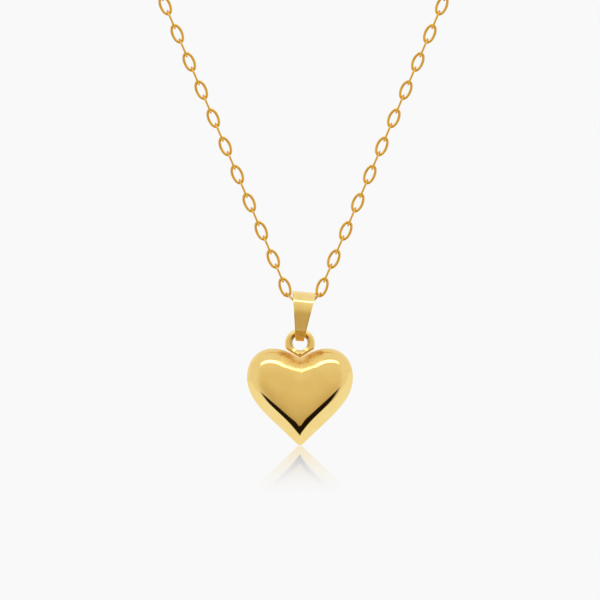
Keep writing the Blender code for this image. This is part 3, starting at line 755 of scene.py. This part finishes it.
def make_studio():
    """Soft light all round: a white sweep, a dim front, a strip lamp and a dark table edge."""
    world = bpy.data.worlds.new("studio")
    bpy.context.scene.world = world
    world.use_nodes = True
    tree = world.node_tree
    tree.nodes.clear()
    output = tree.nodes.new("ShaderNodeOutputWorld")
    direction = tree.nodes.new("ShaderNodeTexCoord").outputs["Generated"]
    split = wire_up(tree, "ShaderNodeSeparateXYZ", Vector=direction)
    x, y, z = split.outputs
    forward = maths(tree, "MAXIMUM", maths(tree, "MULTIPLY", y, -1.0), 0.001)
    aside = maths(tree, "DIVIDE", maths(tree, "ABSOLUTE", x), forward)
    ahead = ramped(tree, forward, 0.35, 0.8)
    level = rise_of(tree, x, z, forward, 0.0)
    table_level = rise_of(tree, x, z, forward, TABLE_ROLL)
    lamp_level = rise_of(tree, x, z, forward, LAMP_ROLL)

    colour = blend_colour(tree, ramped(tree, y, 0.1, 0.5), (0.90, 0.88, 0.80), (WHITE, WHITE, WHITE))
    lower = ramped(tree, level, -0.75, 0.0, smooth=False)
    room = blend_colour(tree, lower, (0.56, 0.45, 0.26), (0.80, 0.71, 0.50))
    room = blend_colour(tree, ramped(tree, level, 0.0, 0.7), room, (0.86, 0.82, 0.66))
    colour = blend_colour(tree, ahead, colour, room)
    below = ramped(tree, table_level, TABLE_LOW - 0.1, TABLE_LOW, 1.0, 0.0)
    colour = blend_colour(tree, below, colour, (0.97, 1.0, 0.98))
    notch = ramped(tree, aside, 0.12, 0.35, 0.14, 0.0)
    table = band(tree, maths(tree, "ADD", table_level, notch), TABLE_LOW, TABLE_HIGH, 0.04)
    off_centre = maths(tree, "ABSOLUTE", maths(tree, "ADD", maths(tree, "DIVIDE", x, forward), 0.25))
    table = maths(tree, "MULTIPLY", table, ramped(tree, off_centre, 1.4, 1.95, 1.0, 0.0))
    colour = blend_colour(tree, table, colour, (0.015, 0.01, 0.008))
    lamp = band(tree, lamp_level, LAMP_LOW, LAMP_HIGH, 0.09)
    lamp = maths(tree, "MULTIPLY", lamp, ramped(tree, aside, 0.8, 1.5, 1.0, 0.0))
    colour = blend_colour(tree, lamp, colour, (3.6, 3.5, 3.3))

    seen = tree.nodes.new("ShaderNodeLightPath").outputs["Is Camera Ray"]
    colour = blend_colour(tree, seen, colour, (WHITE, WHITE, WHITE))
    background = wire_up(tree, "ShaderNodeBackground", Color=colour, Strength=1.0)
    tree.links.new(background.outputs[0], output.inputs["Surface"])
    bpy.context.scene.view_settings.view_transform = "Standard"


with open("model.json") as file:
    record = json.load(file)
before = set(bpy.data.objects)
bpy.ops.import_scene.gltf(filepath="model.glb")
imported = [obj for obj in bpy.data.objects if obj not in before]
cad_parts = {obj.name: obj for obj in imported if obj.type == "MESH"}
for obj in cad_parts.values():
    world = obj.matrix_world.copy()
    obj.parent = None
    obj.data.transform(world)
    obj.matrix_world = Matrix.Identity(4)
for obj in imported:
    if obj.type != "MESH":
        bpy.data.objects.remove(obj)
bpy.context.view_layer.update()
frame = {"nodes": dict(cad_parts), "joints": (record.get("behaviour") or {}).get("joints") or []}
heart_low, heart_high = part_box("heart_front")
heart_tip = Vector(((heart_low.x + heart_high.x) / 2, 0.0, heart_low.z))

pendant_metal = polished_gold("pendant_gold_polished", (0.93, 0.70, 0.29), (0.91, 0.67, 0.26), 0.045)
bail_metal = polished_gold("bail_gold_brushed", (0.98, 0.77, 0.35), (0.95, 0.72, 0.30), 0.10, 0.5, 0.3)
# Painted shade on the foot of the bail's strap.
paint_shade(bail_metal, (0.88, 0.49, 0.09), 0.5, shaded_strap_foot)
loop_metal = polished_gold("loop_gold_polished", (0.93, 0.70, 0.29), (0.91, 0.67, 0.26), 0.07)
# Painted shade on the sides of the loop's bore bevel.
paint_shade(loop_metal, (0.60, 0.39, 0.12), 0.22, shaded_bore_bevel)
# Painted shade, dark, in the pit of the loop's foot.
paint_shade(loop_metal, (0.32, 0.18, 0.05), 0.2, shaded_foot_pit)
# Painted shade on the heart beside the loop, standing in for the loop's reflection, which is hidden from
# gloss.
paint_shade(pendant_metal, (0.86, 0.58, 0.18), 0.42, shaded_around_loop)
chain_metal = polished_gold("chain_gold_polished", (0.84, 0.50, 0.09), (0.72, 0.40, 0.055), 0.10)
clasp_metal = polished_gold("clasp_gold_polished", (0.88, 0.58, 0.18), (0.84, 0.52, 0.14), 0.10)
spring_metal = spring_wire("spring_steel_drawn")

make_single_links(chain_metal)
make_upper_links(chain_metal)
make_back_links(chain_metal)
make_heart(pendant_metal, heart_tip)
make_loop(loop_metal, heart_tip)
make_bail(bail_metal, heart_tip.z)
make_rings(clasp_metal)
dress_clasp(clasp_metal, spring_metal)

make_camera(heart_tip)
make_floor(heart_tip)
make_studio()
